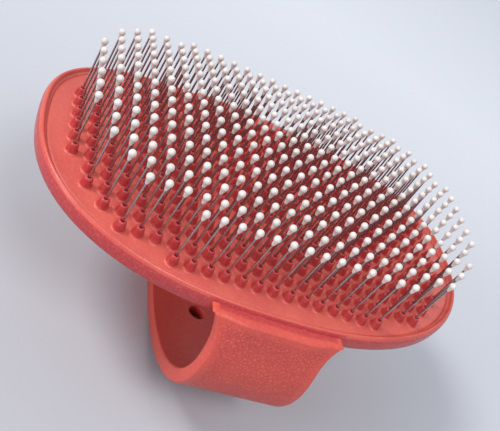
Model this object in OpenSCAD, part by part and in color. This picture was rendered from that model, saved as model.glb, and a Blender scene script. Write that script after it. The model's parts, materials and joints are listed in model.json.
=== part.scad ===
// Oval palm brush: a moulded rubber shell with a raised rim, a cushion of rubber
// bosses, a steel pin with a ball tip in every boss, and a strap looped across the
// back for the hand. The whole head is bowed a little across its width about one
// long axis far below it, and the rows of pins fan out a little. The foot of the
// strap lies on z = 0, the length of the brush is along X, and the pins point up.

/* [Shell] */
// Length of the oval shell
shell_length = 128; // [128:1:150]
// Width of the oval shell
shell_width = 84.6; // [84.6:0.2:96]
// Fullness of the oval: 2 is an ellipse, more is squarer
shell_fullness = 2.47; // [2.4:0.01:3]
// Depth of the shell from the top of the rim to its underside
shell_depth = 4.8; // [4.8:0.1:8]
// Width of the rim around the cushion
rim_width = 2.2; // [2:0.1:2.3]
// Height of the rim above the cushion
rim_height = 1.3; // [1:0.1:1.3]
// Radius of the bow across the head, at the face of the cushion
bow_radius = 208; // [190:1:400]

/* [Cushion] */
// Thickness of the cushion between the bosses
cushion_thick = 1.3; // [1:0.1:1.3]
// Height of a boss above the cushion
boss_height = 2.6; // [2:0.1:3]
// Radius of a boss at its foot
boss_foot_r = 1.45; // [1.2:0.05:1.6]
// Radius of a boss at its top
boss_top_r = 1.0; // [0.8:0.05:1.1]

/* [Pins] */
// Distance between neighbouring pins of a row
pin_pitch = 4.4; // [4.3:0.05:4.4]
// Distance between neighbouring rows, along the bowed face
row_pitch = 4.6; // [4.5:0.05:4.6]
// Angle between the pins of neighbouring rows
row_fan = 0.5; // [0.5:0.1:1.2]
// Number of rows of pins across the head
pin_rows = 16; // [8:2:16]
// Number of pins in the longest row
pin_columns = 26; // [12:2:26]
// Radius of the steel wire
wire_r = 0.27; // [0.25:0.005:0.35]
// Radius of the flat head under the cushion
head_r = 1.1; // [0.9:0.05:1.1]
// Length of wire from the top of a boss to the middle of the ball
pin_free_length = 14.4; // [10:0.1:16]
// Radius of the ball tip
ball_r = 0.95; // [0.8:0.05:0.95]
// Lean of a row that the rubber allows, each way
pin_lean = 5; // [3:0.5:5]

/* [Strap] */
// Width of the strap at the hand
strap_width = 29; // [24:1:32]
// Width of the strap where it joins the shell
strap_root_width = 36; // [36:1:44]
// Thickness of the strap
strap_thick = 3.8; // [3:0.1:4.2]
// Half of the outer span of the loop
loop_half_span = 49.2; // [48:0.1:52]
// Half of the outer height of the loop's ellipse
loop_half_height = 29.1; // [28:0.1:30]
// Height of the shell's underside above the foot of the strap
strap_depth = 44.8; // [43:0.1:46]
// Thickness of the strap's flange on the side of the shell
flange_thick = 3.4; // [2:0.1:3.6]
// Radius of the hanging hole in the strap
hang_hole_r = 2.6; // [2:0.1:3.2]

/* [Hidden] */
$fn = 64;
small_fn = 36;
outline_points = 120;
loop_points = 96;

// The layers under the cushion, and the floor that is left below them
sheet_thick = 0.3;
head_thick = 0.3;
head_gap = 0.3;
layers = rim_height + cushion_thick + head_thick + 2 * head_gap + sheet_thick;
floor_thick = shell_depth - layers;

// Heights of the layers as radii about the axis of the bow
cushion_z = strap_depth + shell_depth - rim_height;
bow_z = cushion_z - bow_radius;
under_r = strap_depth - bow_z;
floor_r = under_r + floor_thick;
sheet_r = floor_r + sheet_thick;
cushion_low_r = bow_radius - cushion_thick;
rim_r = bow_radius + rim_height;
boss_r = bow_radius + boss_height;

// The cushion sits on a ledge around a pocket for the heads
pocket_fullness = 2.5;
fit_gap = 0.15;
ledge_end = 2;
ledge_side = 0.9;
half_l = shell_length / 2;
half_w = shell_width / 2;

// A pin is drawn from the top of its boss, and leans about a point just below it
grip_length = 0.7;
grip_clearance = 0.1;
relief_clearance = 0.15;
head_low = -boss_height - cushion_thick - head_gap - head_thick;
grip_hole_r = wire_r + grip_clearance;
neck_length = 2.2;
neck_r = 0.5;
wire_in_ball = 0.3;

// How far bosses sink into the cushion, and how far cuts run past a face
boss_root = 0.3;
cut = 0.5;

// The loop's lowest facet lies flat on z = 0, its flanges end below the rim
loop_mid_z = loop_half_height * cos(180 / loop_points);
flange_drop = 1;
flange_top_z = bow_z + sqrt(rim_r * rim_r - half_w * half_w) - flange_drop;
flare_fillet = 13.5;
flare_start_z = 35.3;
hang_hole_y = -8;
far = 200;

function row_label(row) = str(row < 10 ? "0" : "", row);
function pin_name(row) = str("pin_row_", row_label(row));
function tip_name(row) = str("tip_row_", row_label(row));

// Rows are counted from the side at -Y
function row_step(row) = row - (pin_rows + 1) / 2;
function row_angle(row) = row_step(row) * row_pitch / bow_radius * 180 / PI;
function row_tilt(row) = row_step(row) * row_fan;

// A pin place belongs to the field when it lies inside an oval of pitches
function in_field(along, across) =
    pow(abs(along) / (pin_columns / 2 + 0.1), 2.5)
    + pow(abs(across) / (pin_rows / 2 + 0.3), 2.5) <= 1;
function row_places(row) = [
    for (column = [1:pin_columns])
        let (along = column - (pin_columns + 1) / 2)
        if (in_field(along, row_step(row))) along * pin_pitch
];

// Points of an oval that is fuller than an ellipse
function signed_power(value, power) = sign(value) * pow(abs(value), power);
function oval(a, b, fullness) = [
    for (i = [0:outline_points - 1])
        let (angle = 360 * (i + 0.5) / outline_points)
        [a * signed_power(cos(angle), 2 / fullness), b * signed_power(sin(angle), 2 / fullness)]
];

// Points of the loop's ellipse, from half a step each side of its lowest point
function loop_ellipse(shrink) = [
    for (i = [0:loop_points - 1])
        let (angle = 360 * (i + 0.5) / loop_points)
        [(loop_half_span - shrink) * sin(angle), loop_mid_z - (loop_half_height - shrink) * cos(angle)]
];

module oval_prism(a, b, fullness) {
    translate([0, 0, bow_z / 2])
        linear_extrude(height = far)
            polygon(oval(a, b, fullness));
}

module bow_cylinder(radius) {
    translate([0, 0, bow_z])
        rotate([0, 90, 0])
            cylinder(r = radius, h = far, center = true, $fn = 360);
}

// A layer of the head: an oval prism between two radii of the bow
module bowed_layer(a, b, fullness, low_r, high_r) {
    intersection() {
        oval_prism(a, b, fullness);
        difference() {
            bow_cylinder(high_r);
            bow_cylinder(low_r);
        }
    }
}

// Puts its children at the top of every boss of a row, in line with the pins
module at_pins(row) {
    translate([0, boss_r * sin(row_angle(row)), bow_z + boss_r * cos(row_angle(row))])
        rotate([-row_tilt(row), 0, 0])
            for (x = row_places(row))
                translate([x, 0, 0])
                    children();
}

module shell() {
    color([0.84, 0.31, 0.27])
        difference() {
            bowed_layer(half_l, half_w, shell_fullness, under_r, rim_r);
            bowed_layer(half_l - rim_width, half_w - rim_width, shell_fullness,
                cushion_low_r, rim_r + cut);
            bowed_layer(half_l - rim_width - ledge_end, half_w - rim_width - ledge_side,
                pocket_fullness, floor_r, rim_r + cut);
        }
}

module boss() {
    taper = (boss_foot_r - boss_top_r) / boss_height;
    translate([0, 0, -boss_height - boss_root])
        cylinder(r1 = boss_foot_r + taper * boss_root, r2 = boss_top_r,
            h = boss_height + boss_root, $fn = small_fn);
}

// The rubber grips the wire at the top of a boss and is relieved below, so that
// the wire can lean
module boss_hole() {
    depth = boss_height + cushion_thick + cut;
    low_r = wire_r + (depth - grip_length / 2) * tan(pin_lean) + relief_clearance;
    translate([0, 0, -grip_length])
        cylinder(r = grip_hole_r, h = grip_length + cut, $fn = small_fn);
    translate([0, 0, -depth])
        cylinder(r1 = low_r, r2 = grip_hole_r, h = depth - grip_length, $fn = small_fn);
}

module cushion() {
    color([0.80, 0.24, 0.22])
        difference() {
            union() {
                bowed_layer(half_l - rim_width - fit_gap, half_w - rim_width - fit_gap,
                    shell_fullness, cushion_low_r, bow_radius);
                for (row = [1:pin_rows])
                    at_pins(row)
                        boss();
            }
            for (row = [1:pin_rows])
                at_pins(row)
                    boss_hole();
        }
}

module backing_sheet() {
    color([0.86, 0.84, 0.80])
        bowed_layer(half_l - rim_width - ledge_end - fit_gap,
            half_w - rim_width - ledge_side - fit_gap, pocket_fullness, floor_r, sheet_r);
}

// The loop seen along the brush: an ellipse below, which runs straight up into
// the flanges on the sides of the shell
module loop_profile() {
    flange_y = half_w + flange_thick;
    join_z = loop_mid_z + loop_half_height * sqrt(1 - pow(flange_y / loop_half_span, 2));
    difference() {
        hull() {
            intersection() {
                polygon(loop_ellipse(0));
                translate([-far / 2, -cut])
                    square([far, join_z + cut]);
            }
            translate([-flange_y, join_z])
                square([2 * flange_y, flange_top_z - join_z]);
        }
        polygon(loop_ellipse(strap_thick));
    }
}

// The strap seen from its side: parallel, then flared towards the shell
module strap_outline() {
    difference() {
        translate([-strap_root_width / 2, -cut])
            square([strap_root_width, flange_top_z + 2 * cut]);
        for (side = [-1, 1]) {
            translate([side * (strap_width / 2 + flare_fillet), flare_start_z])
                circle(r = flare_fillet, $fn = 128);
            translate([side * (strap_width / 2 + flare_fillet) - flare_fillet, flare_start_z - far])
                square([2 * flare_fillet, far]);
        }
    }
}

module hand_strap() {
    color([0.86, 0.33, 0.28])
        difference() {
            intersection() {
                rotate([90, 0, 90])
                    linear_extrude(height = strap_root_width, center = true)
                        loop_profile();
                rotate([90, 0, 0])
                    linear_extrude(height = far, center = true)
                        strap_outline();
            }
            bowed_layer(half_l, half_w, shell_fullness, under_r, rim_r + cut);
            translate([0, hang_hole_y, -cut])
                cylinder(r = hang_hole_r, h = 3 * strap_thick);
        }
}

module pin() {
    translate([0, 0, head_low]) {
        cylinder(r = head_r, h = head_thick, $fn = small_fn);
        cylinder(r = wire_r, h = pin_free_length + wire_in_ball - head_low, $fn = small_fn);
    }
}

module pin_row(row) {
    color([0.62, 0.63, 0.65])
        at_pins(row)
            pin();
}

module ball_tip() {
    difference() {
        union() {
            sphere(r = ball_r, $fn = small_fn);
            translate([0, 0, -neck_length])
                cylinder(r = neck_r, h = neck_length, $fn = small_fn);
        }
        translate([0, 0, -neck_length - cut])
            cylinder(r = wire_r, h = neck_length + cut + wire_in_ball, $fn = small_fn);
    }
}

module tip_row(row) {
    color([0.96, 0.95, 0.93])
        at_pins(row)
            translate([0, 0, pin_free_length])
                ball_tip();
}

shell();
cushion();
backing_sheet();
hand_strap();
for (row = [1:pin_rows]) {
    pin_row(row);
    tip_row(row);
}
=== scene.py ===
"""Looks of the pin palm brush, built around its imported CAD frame."""
import json
import math
import random
from collections import namedtuple

import bpy
import numpy as np
from mathutils import Matrix, Vector


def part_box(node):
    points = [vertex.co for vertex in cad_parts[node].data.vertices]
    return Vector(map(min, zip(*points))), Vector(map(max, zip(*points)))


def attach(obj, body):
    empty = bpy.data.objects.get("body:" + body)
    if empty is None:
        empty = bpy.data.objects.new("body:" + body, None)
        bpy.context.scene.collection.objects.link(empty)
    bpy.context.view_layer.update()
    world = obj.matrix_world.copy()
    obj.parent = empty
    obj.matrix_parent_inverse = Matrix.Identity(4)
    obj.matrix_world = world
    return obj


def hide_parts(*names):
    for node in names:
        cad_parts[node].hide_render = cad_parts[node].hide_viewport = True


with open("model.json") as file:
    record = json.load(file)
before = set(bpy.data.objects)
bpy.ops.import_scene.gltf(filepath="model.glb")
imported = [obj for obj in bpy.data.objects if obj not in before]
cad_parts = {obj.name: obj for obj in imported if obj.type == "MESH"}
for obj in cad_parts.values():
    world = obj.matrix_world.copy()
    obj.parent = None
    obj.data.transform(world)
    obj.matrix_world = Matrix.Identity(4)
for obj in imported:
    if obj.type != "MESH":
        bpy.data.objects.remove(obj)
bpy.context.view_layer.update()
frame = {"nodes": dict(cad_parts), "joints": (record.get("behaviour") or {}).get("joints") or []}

MM = 0.001

# --- Camera -----------------------------------------------------------------

CAMERA_AT = Vector((-0.07966, -0.14527, 0.14827))
CAMERA_LOOK = Vector((0.39852, 0.73329, -0.55088))
CAMERA_UP = Vector((-0.31151, 0.67315, 0.67070))
LENS_MM = 50.77


def make_camera():
    data = bpy.data.cameras.new("camera")
    data.lens = LENS_MM
    data.sensor_width = 36
    data.clip_start, data.clip_end = 0.01, 20
    camera = bpy.data.objects.new("camera", data)
    bpy.context.scene.collection.objects.link(camera)
    look = CAMERA_LOOK.normalized()
    right = look.cross(CAMERA_UP).normalized()
    turn = Matrix((right, right.cross(look), -look)).transposed()
    camera.matrix_world = Matrix.Translation(CAMERA_AT) @ turn.to_4x4()
    bpy.context.scene.camera = camera


make_camera()

# --- Sizes, from the frame and as in the CAD source -------------------------

SHELL_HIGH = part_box("shell")[1]
STRAP_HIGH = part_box("hand_strap")[1]
HALF_L, HALF_W = SHELL_HIGH.x, SHELL_HIGH.y
RIM_Z = SHELL_HIGH.z
FULLNESS = 2.47
BOW_RADIUS = 208 * MM
RIM_HEIGHT = 1.3 * MM
RIM_WIDTH = 2.2 * MM
SHELL_DEPTH = 4.8 * MM
BOW_Z = RIM_Z - RIM_HEIGHT - BOW_RADIUS
PIN_PITCH = 4.4 * MM
GRIP_DEPTH = 0.35 * MM
BOSS_HEIGHT = 2.6 * MM


def bow(y, height=0.0):
    """z of the bowed face at y, at a height above the cushion."""
    return BOW_Z + np.sqrt((BOW_RADIUS + height) ** 2 - np.asarray(y) ** 2)


Row = namedtuple("Row", "label body places top along ball ball_r")


def read_rows():
    """Each row of pins: its name and body, its pins' places along x, the top of its
    bosses, the direction of its pins, and the middle and radius of its balls."""
    rows = []
    for joint in frame["joints"]:
        label = joint["child"].split("_")[1]
        low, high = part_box("tip_row_" + label)
        ball_r = (high.y - low.y) / 2
        ball = Vector((0, (high.y + low.y) / 2, high.z - ball_r))
        pivot = Vector(joint["pos_m"])
        along = (ball - pivot).normalized()
        count = round((high.x - low.x - 2 * ball_r) / PIN_PITCH) + 1
        places = [(k - (count - 1) / 2) * PIN_PITCH for k in range(count)]
        top = pivot + along * GRIP_DEPTH
        rows.append(Row(label, joint["child"], places, top, along, ball, ball_r))
    return rows


ROWS = read_rows()

# --- Mesh helpers -----------------------------------------------------------

# Steps round an oval from which its evenly spaced points are read
OVAL_STEPS = 8000


def outline(count):
    """Evenly spaced points of the head's oval, and its outward normals."""
    a, b = HALF_L, HALF_W
    turn = np.linspace(0, 2 * math.pi, OVAL_STEPS + 1)
    c, s = np.cos(turn), np.sin(turn)
    x = a * np.sign(c) * np.abs(c) ** (2 / FULLNESS)
    y = b * np.sign(s) * np.abs(s) ** (2 / FULLNESS)
    run = np.concatenate([[0], np.cumsum(np.hypot(np.diff(x), np.diff(y)))])
    at = np.linspace(0, run[-1], count, endpoint=False)
    x, y = np.interp(at, run, x), np.interp(at, run, y)
    nx = np.sign(x) * np.abs(x / a) ** (FULLNESS - 1) / a
    ny = np.sign(y) * np.abs(y / b) ** (FULLNESS - 1) / b
    length = np.hypot(nx, ny)
    return np.stack([x, y], 1), np.stack([nx / length, ny / length], 1)


def band(one, other, n):
    """Quads between two rings of n points, numbered from one and from other."""
    return [(one + i, one + (i + 1) % n, other + (i + 1) % n, other + i) for i in range(n)]


def loft(rings, first=0):
    """Quads between rings of the same number of points, numbered from first."""
    n = len(rings[0])
    faces = []
    for k in range(len(rings) - 1):
        faces += band(first + k * n, first + (k + 1) * n, n)
    return faces


def end_caps(first, total, n):
    """The faces that close a loft whose points run from first to total."""
    return [tuple(range(first + n - 1, first - 1, -1)), tuple(range(total - n, total))]


def mesh_object(name, verts, faces):
    mesh = bpy.data.meshes.new(name)
    mesh.from_pydata([tuple(v) for v in verts], [], faces)
    mesh.validate()
    mesh.polygons.foreach_set("use_smooth", [True] * len(mesh.polygons))
    mesh.update()
    obj = bpy.data.objects.new(name, mesh)
    bpy.context.scene.collection.objects.link(obj)
    return obj


def paint_mask(obj, name, values):
    """Gives each point of a mesh a number, which the material reads."""
    layer = obj.data.attributes.new(name, "FLOAT", "POINT")
    layer.data.foreach_set("value", np.asarray(values, np.float32))


def smoothstep(low, high, value):
    t = np.clip((value - low) / (high - low), 0, 1)
    return t * t * (3 - 2 * t)


# --- Materials --------------------------------------------------------------


def new_material(name):
    material = bpy.data.materials.new(name)
    material.use_nodes = True
    nodes = material.node_tree.nodes
    nodes.clear()
    out = nodes.new("ShaderNodeOutputMaterial")
    shader = nodes.new("ShaderNodeBsdfPrincipled")
    material.node_tree.links.new(shader.outputs[0], out.inputs[0])
    return material, nodes, material.node_tree.links, shader


def object_point(nodes, links):
    """Object coordinates in millimetres."""
    where = nodes.new("ShaderNodeTexCoord")
    size = nodes.new("ShaderNodeMapping")
    size.inputs["Scale"].default_value = (1 / MM,) * 3
    links.new(where.outputs["Object"], size.inputs["Vector"])
    return size.outputs["Vector"]


def noise(nodes, links, point, scale, detail, rough=0.5):
    made = nodes.new("ShaderNodeTexNoise")
    made.inputs["Scale"].default_value = scale
    made.inputs["Detail"].default_value = detail
    made.inputs["Roughness"].default_value = rough
    links.new(point, made.inputs["Vector"])
    return made.outputs["Fac"]


def span(nodes, links, value, given, wanted=(0, 1)):
    """Stretches a value from the given range to the wanted one."""
    made = nodes.new("ShaderNodeMapRange")
    slots = "From Min", "From Max", "To Min", "To Max"
    for slot, number in zip(slots, (*given, *wanted)):
        made.inputs[slot].default_value = number
    links.new(value, made.inputs["Value"])
    return made.outputs["Result"]


def mix_colour(nodes, links, factor, one, other):
    made = nodes.new("ShaderNodeMix")
    made.data_type = "RGBA"
    for socket, colour in ((made.inputs[6], one), (made.inputs[7], other)):
        if isinstance(colour, tuple):
            socket.default_value = (*colour, 1)
        else:
            links.new(colour, socket)
    links.new(factor, made.inputs[0])
    return made.outputs[2]


def maths(nodes, links, how, one, other):
    made = nodes.new("ShaderNodeMath")
    made.operation = how
    for socket, value in zip(made.inputs, (one, other)):
        if isinstance(value, (int, float)):
            socket.default_value = value
        else:
            links.new(value, socket)
    return made.outputs[0]


def add_bump(nodes, links, shader, height, strength, distance):
    made = nodes.new("ShaderNodeBump")
    made.inputs["Strength"].default_value = strength
    made.inputs["Distance"].default_value = distance
    links.new(height, made.inputs["Height"])
    links.new(made.outputs[0], shader.inputs["Normal"])


def leather_pebbles(nodes, links, point):
    """Leather grain: rounded cells about a millimetre across, with bent edges."""
    wobble = nodes.new("ShaderNodeTexNoise")
    wobble.inputs["Scale"].default_value = 0.9
    links.new(point, wobble.inputs["Vector"])
    bent = nodes.new("ShaderNodeVectorMath")
    bent.operation = "ADD"
    links.new(point, bent.inputs[0])
    links.new(wobble.outputs["Color"], bent.inputs[1])
    cells = nodes.new("ShaderNodeTexVoronoi")
    cells.feature = "DISTANCE_TO_EDGE"
    cells.inputs["Scale"].default_value = 0.98
    links.new(bent.outputs[0], cells.inputs["Vector"])
    return span(nodes, links, cells.outputs["Distance"], (0.0, 0.22))


RUBBER = (0.58, 0.09, 0.065)
# The deep colour, which the clouds go to, and the painted shade of the deep masks and grain
# valleys
RUBBER_DEEP = (0.42, 0.035, 0.040)
RUBBER_PALE = (0.74, 0.17, 0.12)
# Painted shade on the cushion's bosses, which is also the colour its clouds go to
BOSS_SHADE_AND_CLOUD_RED = (0.42, 0.03, 0.035)
FACE_RED = (0.58, 0.10, 0.075)
STRAP_RED = (0.60, 0.075, 0.05)
# How far the clouds in the rubber and the valleys of its grain go to the deep colour; in the
# valleys that is painted shade
CLOUDINESS = 0.35
VALLEY_SHADE = 0.5
# Height of the fine texture, where the grain's is 1
FINE_HEIGHT = 0.12
WIRE_DARK, WIRE_BRIGHT = (0.26, 0.24, 0.235), (0.56, 0.53, 0.52)
RESIN_PALE, RESIN_DULL = (0.71, 0.66, 0.63), (0.60, 0.555, 0.53)
FIBRE_PALE, FIBRE_DARK = (0.66, 0.62, 0.55), (0.50, 0.46, 0.40)
# Painted light falloff: the floor's colour at the front and at the back
FLOOR_FRONT, FLOOR_BACK = (0.43, 0.445, 0.485), (0.62, 0.65, 0.70)


def rubber(name, deep, plain, pale, rough, grain=False):
    """Moulded rubber: cloudy colour and fine surface texture. It is deeper where
    the mesh's deep mask is 1, which paints shade, and has leather grain where its
    grain mask is 1, with painted shade in the grain's valleys."""
    material, nodes, links, shader = new_material(name)
    point = object_point(nodes, links)
    clouds = noise(nodes, links, point, scale=0.09, detail=3)
    clouds = span(nodes, links, clouds, (0.35, 0.65))
    clouds = maths(nodes, links, "MULTIPLY", clouds, CLOUDINESS)
    # The deep mask paints shade: on the shell's wall and seam, the ledge tops and the bosses
    shade = nodes.new("ShaderNodeAttribute")
    shade.attribute_name = "deep"
    clouds = maths(nodes, links, "MAXIMUM", clouds, shade.outputs["Fac"])
    colour = mix_colour(nodes, links, clouds, plain, deep)
    specks = noise(nodes, links, point, scale=1.6, detail=2)
    specks = span(nodes, links, specks, (0.45, 0.8), (0, 0.35))
    colour = mix_colour(nodes, links, specks, colour, pale)
    fine = noise(nodes, links, point, scale=5.0, detail=2, rough=0.6)
    height = maths(nodes, links, "MULTIPLY", fine, FINE_HEIGHT)
    patches = noise(nodes, links, point, scale=0.6, detail=3)
    roughness = span(nodes, links, patches, (0.3, 0.7), (rough - 0.06, rough + 0.08))
    if grain:
        mask = nodes.new("ShaderNodeAttribute")
        mask.attribute_name = "grain"
        pebbles = leather_pebbles(nodes, links, point)
        grained = maths(nodes, links, "MULTIPLY", pebbles, mask.outputs["Fac"])
        height = maths(nodes, links, "ADD", height, grained)
        # Painted shade in the grain's valleys
        valleys = maths(nodes, links, "SUBTRACT", mask.outputs["Fac"], grained)
        valleys = maths(nodes, links, "MULTIPLY", valleys, VALLEY_SHADE)
        colour = mix_colour(nodes, links, valleys, colour, deep)
    links.new(colour, shader.inputs["Base Color"])
    links.new(roughness, shader.inputs["Roughness"])
    add_bump(nodes, links, shader, height, strength=0.55, distance=0.25 * MM)
    return material


def steel():
    """Drawn wire: faintly mottled, in shade and in gloss."""
    material, nodes, links, shader = new_material("steel_wire")
    point = object_point(nodes, links)
    streaks = noise(nodes, links, point, scale=2.5, detail=4, rough=0.7)
    shade = span(nodes, links, streaks, (0.3, 0.7))
    roughness = span(nodes, links, streaks, (0.3, 0.7), (0.24, 0.4))
    links.new(mix_colour(nodes, links, shade, WIRE_DARK, WIRE_BRIGHT),
              shader.inputs["Base Color"])
    links.new(roughness, shader.inputs["Roughness"])
    shader.inputs["Metallic"].default_value = 1.0
    add_bump(nodes, links, shader, streaks, strength=0.15, distance=0.05 * MM)
    return material


def tip_resin():
    """Dipped resin balls: warm white and glossy."""
    material, nodes, links, shader = new_material("tip_resin")
    point = object_point(nodes, links)
    clouds = noise(nodes, links, point, scale=0.35, detail=2)
    clouds = span(nodes, links, clouds, (0.35, 0.65))
    drips = noise(nodes, links, point, scale=1.2, detail=2)
    roughness = span(nodes, links, drips, (0.3, 0.7), (0.18, 0.3))
    links.new(mix_colour(nodes, links, clouds, RESIN_PALE, RESIN_DULL),
              shader.inputs["Base Color"])
    links.new(roughness, shader.inputs["Roughness"])
    shader.inputs["Coat Weight"].default_value = 0.25
    shader.inputs["Coat Roughness"].default_value = 0.1
    add_bump(nodes, links, shader, drips, strength=0.2, distance=0.06 * MM)
    return material


def backing():
    """Pressed fibre sheet behind the pin heads."""
    material, nodes, links, shader = new_material("backing_fibre")
    point = object_point(nodes, links)
    fibres = noise(nodes, links, point, scale=1.5, detail=5, rough=0.7)
    shade = span(nodes, links, fibres, (0.3, 0.7))
    roughness = span(nodes, links, fibres, (0.3, 0.7), (0.7, 0.9))
    links.new(mix_colour(nodes, links, shade, FIBRE_PALE, FIBRE_DARK),
              shader.inputs["Base Color"])
    links.new(roughness, shader.inputs["Roughness"])
    add_bump(nodes, links, shader, fibres, strength=0.3, distance=0.1 * MM)
    return material


SHELL_RUBBER = rubber("shell_rubber", RUBBER_DEEP, RUBBER, RUBBER_PALE, rough=0.33)
CUSHION_RUBBER = rubber("cushion_rubber", BOSS_SHADE_AND_CLOUD_RED, FACE_RED, RUBBER_PALE, rough=0.46)
STRAP_RUBBER = rubber("strap_rubber", RUBBER_DEEP, STRAP_RED, RUBBER_PALE, rough=0.45,
                      grain=True)
STEEL = steel()
TIP_RESIN = tip_resin()
BACKING = backing()


def finish_piece(obj, material, body, node):
    obj.data.materials.clear()
    obj.data.materials.append(material)
    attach(obj, body)
    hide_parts(node)


# --- Shell ------------------------------------------------------------------

# The shell's section in millimetres: inset from the outer wall, and height above the
# rim's top. The wall ends in a round shoulder, and a thin bead stands on the rim.
RIM_SECTION = [
    (1.70, -4.80), (1.05, -4.77), (0.66, -4.66), (0.38, -4.47), (0.20, -4.20), (0.10, -3.80),
    (0.05, -3.20), (0.02, -2.60), (0.00, -2.00), (0.03, -1.55), (0.09, -1.20), (0.18, -0.88),
    (0.30, -0.60), (0.43, -0.35), (0.58, -0.15), (0.76, -0.03), (0.94, 0.00), (1.12, -0.05),
    (1.27, -0.20), (1.40, -0.45), (1.52, -0.75), (1.72, -1.02), (2.00, -1.18), (2.20, -1.30),
    (2.20, -2.58), (3.05, -2.60), (3.10, -2.70), (3.10, -3.80),
]
# The last points of that section in the deeper colour, which is painted shade: all round on the
# wall, and in the seam above a ledge
WALL_END = 11
SEAM_END = 13
SEAM_FADE = 1.5 * MM
# Shares of the outline at which rings cross the underside and the pocket's floor
DISC_SHARES = (0.04, 0.2, 0.4, 0.6, 0.8, 0.93)
SHELL_POINTS = 520


def inset_ring(points, normals, inset, drop):
    ring = points - normals * inset
    z = bow(ring[:, 1], RIM_HEIGHT) + drop
    return np.column_stack([ring, z])


def shrunk_ring(ring, share, drop):
    flat = ring[:, :2] * share
    return np.column_stack([flat, bow(flat[:, 1], RIM_HEIGHT) + drop])


def make_shell():
    points, normals = outline(SHELL_POINTS)
    start = inset_ring(points, normals, RIM_SECTION[0][0] * MM, 0)
    rings = [shrunk_ring(start, s, -SHELL_DEPTH) for s in DISC_SHARES]
    rings += [inset_ring(points, normals, d * MM, h * MM) for d, h in RIM_SECTION]
    inner = rings[-1]
    rings += [shrunk_ring(inner, s, RIM_SECTION[-1][1] * MM) for s in DISC_SHARES[::-1]]
    verts = np.concatenate(rings)
    n = SHELL_POINTS
    shell = mesh_object("shell_body", verts, loft(rings) + end_caps(0, len(verts), n))
    # Painted shade: darker on the wall all round, and in the seam above each ledge, as shadow
    # under the rim
    seam_shade = smoothstep(SEAM_FADE, 0.0, np.abs(points[:, 0]) - STRAP_HIGH.x)
    wall_shade = [np.zeros(n)] * len(DISC_SHARES)
    for k in range(len(RIM_SECTION)):
        wall_shade.append(np.ones(n) if k <= WALL_END else seam_shade * (k <= SEAM_END))
    wall_shade += [np.zeros(n)] * len(DISC_SHARES)
    paint_mask(shell, "deep", np.concatenate(wall_shade))
    finish_piece(shell, SHELL_RUBBER, "head", "shell")


# --- Cushion ----------------------------------------------------------------

# A boss's section in millimetres, which ends in the wire's hole: radius, and height
# above the face
BOSS_SECTION = [
    (2.05, -0.10), (1.82, 0.02), (1.62, 0.12), (1.48, 0.32), (1.40, 0.60), (1.30, 1.05),
    (1.20, 1.55), (1.11, 2.02), (1.05, 2.30), (0.95, 2.49), (0.80, 2.58), (0.62, 2.60),
    (0.50, 2.55), (0.42, 2.42), (0.41, 1.90), (0.74, -1.20),
]
BOSS_SIDES = 16
# Heights above the face between which a boss turns from the face to its pin's lean
BOSS_LEAN_FROM, BOSS_LEAN_TO = 0.1 * MM, 1.2 * MM
# The cushion's underside and edge: share of its outline, and height above the face
# in millimetres
CUSHION_EDGE = [
    (0.03, -1.3), (0.5, -1.3), (0.985, -1.3), (0.9995, -1.2), (1.0, -0.3), (0.998, 0.0),
    (0.985, 0.02), (0.96, 0.0),
]
FACE_SHARES = np.linspace(0.93, 0.03, 19)
CUSHION_GAP = 0.02 * MM
CUSHION_POINTS = 250


def boss_verts(x, top, along):
    """Rings of a boss, laid on the face at its foot and in line with its pin above."""
    turn = np.arange(BOSS_SIDES) * 2 * math.pi / BOSS_SIDES
    c, s = np.cos(turn), np.sin(turn)
    foot = top - along * BOSS_HEIGHT
    rings = []
    for radius, height in BOSS_SECTION:
        r, h = radius * MM, height * MM
        tilted = np.stack([
            x + r * c,
            foot.y + along.y * h + r * s * along.z,
            foot.z + along.z * h - r * s * along.y], 1)
        laid = np.stack([x + r * c, foot.y + along.y * h + r * s], 1)
        laid = np.column_stack([laid, bow(laid[:, 1]) + h])
        share = smoothstep(BOSS_LEAN_FROM, BOSS_LEAN_TO, h)
        rings.append(tilted * share + laid * (1 - share))
    return rings


def make_cushion():
    points, normals = outline(CUSHION_POINTS)
    edge = points - normals * (RIM_WIDTH - CUSHION_GAP)
    rings = []
    for share, height in CUSHION_EDGE + [(share, 0.0) for share in FACE_SHARES]:
        flat = edge * share
        rings.append(np.column_stack([flat, bow(flat[:, 1]) + height * MM]))
    verts = [np.concatenate(rings)]
    total = len(verts[0])
    faces = loft(rings) + end_caps(0, total, CUSHION_POINTS)
    for row in ROWS:
        for x in row.places:
            rings = boss_verts(x, row.top, row.along)
            faces += loft(rings, total)
            faces += band(total + BOSS_SIDES * (len(rings) - 1), total, BOSS_SIDES)
            verts.append(np.concatenate(rings))
            total += len(verts[-1])
    cushion = mesh_object("cushion_face", np.concatenate(verts), faces)
    masks = [0.0] * len(verts[0])
    # Painted shade: the bosses deeper red than the face between them
    boss_shade = [float(smoothstep(0.0, 0.5, height)) for _, height in BOSS_SECTION]
    masks += list(np.repeat(boss_shade, BOSS_SIDES)) * sum(len(row.places) for row in ROWS)
    paint_mask(cushion, "deep", masks)
    finish_piece(cushion, CUSHION_RUBBER, "head", "cushion")


# --- Hand strap -------------------------------------------------------------

LOOP_HEIGHT = 29.1 * MM
STRAP_THICK = 3.8 * MM
STRAP_WIDTH = 29 * MM
FLARE_RADIUS = 13.5 * MM
FLARE_START = 35.3 * MM
# How far a ledge stands out from the shell's wall, and how far its root goes in
LEDGE = 3.4 * MM
LEDGE_ROOT = 1.4 * MM
CORNER_DROP = 1.2 * MM
HOLE_AT = -8 * MM
HOLE_R = 2.6 * MM
EDGE_R = 0.55 * MM
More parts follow.
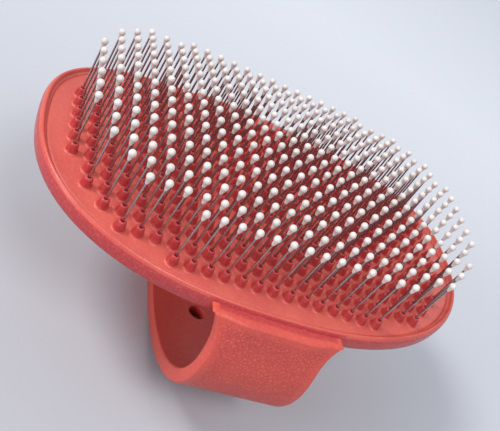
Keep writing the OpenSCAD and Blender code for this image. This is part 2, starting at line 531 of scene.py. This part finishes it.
# The outer face's straight run down from a ledge has SIDE_STEPS; on the inside the
# first ROOT_SHARE of them lie in the shell, and the rest follow the loop's ellipse
SIDE_STEPS = 24
ROOT_SHARE = 0.4
LOOP_STEPS = 130
WIDTH_STEPS = 25
CORNER_STEPS = 5
# The grain lies on the outer face, where the share of the thickness is under
# OUTER_FACE. It starts at GRAIN_FROM from the edges and the ledge, and is whole at
# GRAIN_EDGE and GRAIN_LEDGE from them.
OUTER_FACE = 0.02
GRAIN_FROM, GRAIN_EDGE, GRAIN_LEDGE = 1.2 * MM, 2.2 * MM, 2.6 * MM
# The top of a ledge, from its middle to its rounded edge: inset and drop in
# millimetres, and deep mask, which paints shade in the ledge top's middle by the shell's wall
LEDGE_TOP = [
    (2.1, 0.0, 1.0), (1.3, 0.0, 0.0), (0.42, 0.0, 0.0), (0.13, 0.13, 0.0), (0.0, 0.42, 0.0),
]
# Share of the inset at the ledge's root, inside the shell
ROOT_INSET = 0.3
# The hanging hole: share of its radius, and height in millimetres
HOLE_SECTION = [(1.15, -2.0), (1.0, 1.0), (1.0, 3.4), (1.15, 6.0)]
HOLE_SIDES = 48


def strap_half_width(z):
    """Half of the strap's width: parallel below, flared towards the shell."""
    rise = min(max(z - FLARE_START, 0), FLARE_RADIUS)
    flare = FLARE_RADIUS - math.sqrt(FLARE_RADIUS ** 2 - rise ** 2)
    return min(STRAP_WIDTH / 2 + flare, STRAP_HIGH.x)


def strap_path():
    """Outer and inner points of the loop, from the +Y flange round to -Y. The
    outer face leaves the ellipse where it points at the ledge's outer corner."""
    span_y, top_z = STRAP_HIGH.y, STRAP_HIGH.z
    ledge_y = HALF_W + LEDGE
    inner_y, inner_h = span_y - STRAP_THICK, LOOP_HEIGHT - STRAP_THICK
    across, up = ledge_y / span_y, top_z / LOOP_HEIGHT - 1
    leave = math.asin(1 / math.hypot(across, up)) + math.atan2(up, across)
    leave_y, leave_z = span_y * math.sin(leave), LOOP_HEIGHT * (1 - math.cos(leave))
    under_z = float(bow(HALF_W, RIM_HEIGHT)) - SHELL_DEPTH
    inner_end = math.acos((LOOP_HEIGHT - under_z) / inner_h)
    side = []
    for k in range(SIDE_STEPS + 1):
        share = k / SIDE_STEPS
        outer = (ledge_y + (leave_y - ledge_y) * share, top_z + (leave_z - top_z) * share)
        if share < ROOT_SHARE:
            inner = (HALF_W - LEDGE_ROOT, top_z + (under_z - top_z) * share / ROOT_SHARE)
        else:
            rest = (share - ROOT_SHARE) / (1 - ROOT_SHARE)
            angle = inner_end + (leave - inner_end) * rest
            inner = (inner_y * math.sin(angle), LOOP_HEIGHT - inner_h * math.cos(angle))
        side.append((outer, inner))
    path = list(side)
    for k in range(1, LOOP_STEPS):
        angle = leave * (1 - 2 * k / LOOP_STEPS)
        path.append(((span_y * math.sin(angle), LOOP_HEIGHT * (1 - math.cos(angle))),
                     (inner_y * math.sin(angle), LOOP_HEIGHT - inner_h * math.cos(angle))))
    for (oy, oz), (iy, iz) in side[::-1]:
        path.append(((-oy, oz), (-iy, iz)))
    return path


def strap_section(half):
    """A rounded rectangle: x across the strap, and q, which is 0 on the outer face
    and 1 on the inner face."""
    flat = half - EDGE_R
    edge = EDGE_R / STRAP_THICK
    turns = [math.pi / 2 * k / CORNER_STEPS for k in range(1, CORNER_STEPS + 1)]
    across = [flat * (2 * k / WIDTH_STEPS - 1) for k in range(WIDTH_STEPS + 1)]
    ring = [(x, 0.0) for x in across]
    ring += [(flat + EDGE_R * math.sin(a), edge * (1 - math.cos(a))) for a in turns]
    ring += [(flat + EDGE_R * math.cos(a), 1 - edge * (1 - math.sin(a))) for a in turns]
    ring += [(-x, 1.0) for x in across[1:]]
    ring += [(-flat - EDGE_R * math.sin(a), 1 - edge * (1 - math.cos(a))) for a in turns]
    ring += [(-flat - EDGE_R * math.cos(a), edge * (1 - math.sin(a))) for a in turns[:-1]]
    return ring


def ledge_top(end):
    """Rings over the flat end of the strap, from its middle out to the end section."""
    outer = abs(end[:, 1]).max()
    depth = (outer - abs(end[:, 1])) / (outer - abs(end[:, 1]).min())
    rings = []
    for inset, drop, _ in LEDGE_TOP:
        ring = end.copy()
        ring[:, 0] *= 1 - inset * MM / STRAP_HIGH.x
        ring[:, 1] -= np.sign(end[:, 1]) * inset * MM * (1 - (1 + ROOT_INSET) * depth)
        ring[:, 2] -= drop * MM
        rings.append(ring)
    return rings


def strap_ring(outer, inner):
    """The points round the strap at a place on its path, and their grain mask."""
    half = strap_half_width(outer[1])
    rise = smoothstep(FLARE_START, STRAP_HIGH.z, outer[1])
    below_ledge = smoothstep(GRAIN_FROM, GRAIN_LEDGE, STRAP_HIGH.z - outer[1])
    ring, grain = [], []
    for x, q in strap_section(half):
        drop = rise * CORNER_DROP * smoothstep(0.5, 1.0, abs(x) / half) * (1 - q)
        y = outer[0] + (inner[0] - outer[0]) * q - math.copysign(drop, outer[0])
        ring.append((x, y, outer[1] + (inner[1] - outer[1]) * q))
        within_edge = smoothstep(GRAIN_FROM, GRAIN_EDGE, half - abs(x))
        grain.append(within_edge * below_ledge * (q < OUTER_FACE))
    return np.array(ring), grain


def make_strap():
    rings, grains = zip(*[strap_ring(outer, inner) for outer, inner in strap_path()])
    n = len(rings[0])
    tops = ledge_top(rings[0]), ledge_top(rings[-1])[::-1]
    verts = np.concatenate([*tops[0], *rings[1:-1], *tops[1]])
    faces = loft([*tops[0], *rings[1:-1], *tops[1]]) + end_caps(0, len(verts), n)
    strap = mesh_object("strap_loop", verts, faces)
    plain = np.zeros(n * len(LEDGE_TOP))
    # Painted shade on the ledge tops, under the rim
    shade = np.repeat([deep for _, _, deep in LEDGE_TOP], n)
    middle = np.zeros(n * (len(rings) - 2))
    paint_mask(strap, "grain", np.concatenate([plain, *grains[1:-1], plain]))
    paint_mask(strap, "deep", np.concatenate([shade, middle, shade[::-1]]))
    cut_hole(strap)
    finish_piece(strap, STRAP_RUBBER, "head", "hand_strap")


def cut_hole(strap):
    """The hanging hole, a little wider at both mouths."""
    turn = np.arange(HOLE_SIDES) * 2 * math.pi / HOLE_SIDES
    rings = []
    for share, z in HOLE_SECTION:
        rings.append(np.stack([
            HOLE_R * share * np.cos(turn),
            HOLE_AT + HOLE_R * share * np.sin(turn),
            np.full(HOLE_SIDES, z * MM)], 1))
    verts = np.concatenate(rings)
    faces = loft(rings) + end_caps(0, len(verts), HOLE_SIDES)
    cutter = mesh_object("hole_cutter", verts, faces)
    cut = strap.modifiers.new("hole", "BOOLEAN")
    cut.operation = "DIFFERENCE"
    cut.solver = "EXACT"
    cut.object = cutter
    bpy.context.view_layer.update()
    evaluated = strap.evaluated_get(bpy.context.evaluated_depsgraph_get())
    mesh = bpy.data.meshes.new_from_object(evaluated)
    strap.modifiers.clear()
    strap.data = mesh
    bpy.data.objects.remove(cutter)


# --- Ball tips --------------------------------------------------------------

TIP_SIDES = 18
# Degrees from the top of a ball at which rings go round it
BALL_RINGS = (0.5, 14, 28, 42, 56, 70, 84, 98, 112)
# The neck's section in millimetres: radius, and height from the middle of the ball
TIP_NECK = [(0.80, -0.52), (0.71, -0.78), (0.64, -1.02), (0.57, -1.28), (0.51, -1.54),
            (0.45, -1.80), (0.40, -2.02), (0.34, -2.16), (0.28, -2.20)]
TIP_SEED = 7
SMALLEST_BALL, SHORTEST_NECK = 0.95, 0.9


def make_tips():
    chance = random.Random(TIP_SEED)
    ball = [(math.sin(a), math.cos(a)) for a in np.radians(BALL_RINGS)]
    for row in ROWS:
        centre, along = row.ball, row.along
        verts, faces, total = [], [], 0
        for x in row.places:
            size = chance.uniform(SMALLEST_BALL, 1.0)
            neck = chance.uniform(SHORTEST_NECK, 1.0)
            ball_r = row.ball_r * size
            section = [(r * ball_r, h * ball_r) for r, h in ball]
            section += [(r * MM * size, h * MM * neck) for r, h in TIP_NECK]
            turn = np.arange(TIP_SIDES) * 2 * math.pi / TIP_SIDES + chance.uniform(0, 1)
            c, s = np.cos(turn), np.sin(turn)
            rings = [np.stack([
                x + r * c,
                centre.y + along.y * h + r * s * along.z,
                centre.z + along.z * h - r * s * along.y], 1) for r, h in section]
            verts.append(np.concatenate(rings))
            end = total + len(verts[-1])
            downward = loft(rings, total) + end_caps(total, end, TIP_SIDES)
            faces += [face[::-1] for face in downward]
            total = end
        tips = mesh_object("ball_tips_" + row.label, np.concatenate(verts), faces)
        finish_piece(tips, TIP_RESIN, row.body, "tip_row_" + row.label)


make_shell()
make_cushion()
make_strap()
make_tips()


def dress_cad():
    """The CAD nodes that stay: the wires and the sheet inside the head."""
    for name, node in frame["nodes"].items():
        if node.hide_render:
            continue
        material = STEEL if name.startswith("pin_row") else BACKING
        node.data.materials.clear()
        node.data.materials.append(material)


dress_cad()

# --- Floor and light --------------------------------------------------------

FLOOR_REACH = 6.0
# The floor is painted paler in this direction, away from the front, as painted light falloff
FLOOR_FADE = (0.48, 0.88, 0)
SKY = (0.88, 0.92, 1.0, 1)
SKY_STRENGTH = 0.62
LIGHTS_AIM = (0, 0, 0.04)
SOFT_WHITE = (1.0, 0.98, 0.97)
KEY_WHITE = (1.0, 0.98, 0.95)
# Name, place, size across in metres, watts and colour
LIGHTS = [
    ("key", (-1.15, 0.15, 1.35), 0.50, 18.0, KEY_WHITE),
    ("fill", (0.10, -0.95, 1.40), 0.70, 10.0, SOFT_WHITE),
    ("side", (-2.20, -0.85, 0.88), 0.90, 17.5, SOFT_WHITE),
    ("back", (1.10, 0.75, 0.80), 0.60, 1.5, SOFT_WHITE),
]


def floor_material():
    """Pale matt paper, with painted shade that makes it a little darker towards the front."""
    material, nodes, links, shader = new_material("floor")
    where = nodes.new("ShaderNodeTexCoord")
    away = nodes.new("ShaderNodeVectorMath")
    away.operation = "DOT_PRODUCT"
    away.inputs[1].default_value = FLOOR_FADE
    links.new(where.outputs["Object"], away.inputs[0])
    shade = span(nodes, links, away.outputs["Value"], (-0.06, 0.30))
    links.new(mix_colour(nodes, links, shade, FLOOR_FRONT, FLOOR_BACK),
              shader.inputs["Base Color"])
    shader.inputs["Roughness"].default_value = 0.75
    return material


def make_stage():
    corners = [(-1, -1), (1, -1), (1, 1), (-1, 1)]
    verts = [(FLOOR_REACH * x, FLOOR_REACH * y, 0) for x, y in corners]
    floor = mesh_object("floor", verts, [(0, 1, 2, 3)])
    floor.data.materials.append(floor_material())
    world = bpy.data.worlds.new("studio")
    world.use_nodes = True
    sky = world.node_tree.nodes["Background"]
    sky.inputs["Color"].default_value = SKY
    sky.inputs["Strength"].default_value = SKY_STRENGTH
    bpy.context.scene.world = world


def area_light(name, at, size, power, colour):
    data = bpy.data.lights.new(name, "AREA")
    data.shape = "DISK"
    data.size = size
    data.energy = power
    data.color = colour
    light = bpy.data.objects.new(name, data)
    bpy.context.scene.collection.objects.link(light)
    light.location = at
    facing = Vector(LIGHTS_AIM) - Vector(at)
    light.rotation_euler = facing.to_track_quat("-Z", "Y").to_euler()


make_stage()
for light in LIGHTS:
    area_light(*light)

bpy.context.scene.view_settings.view_transform = "Standard"
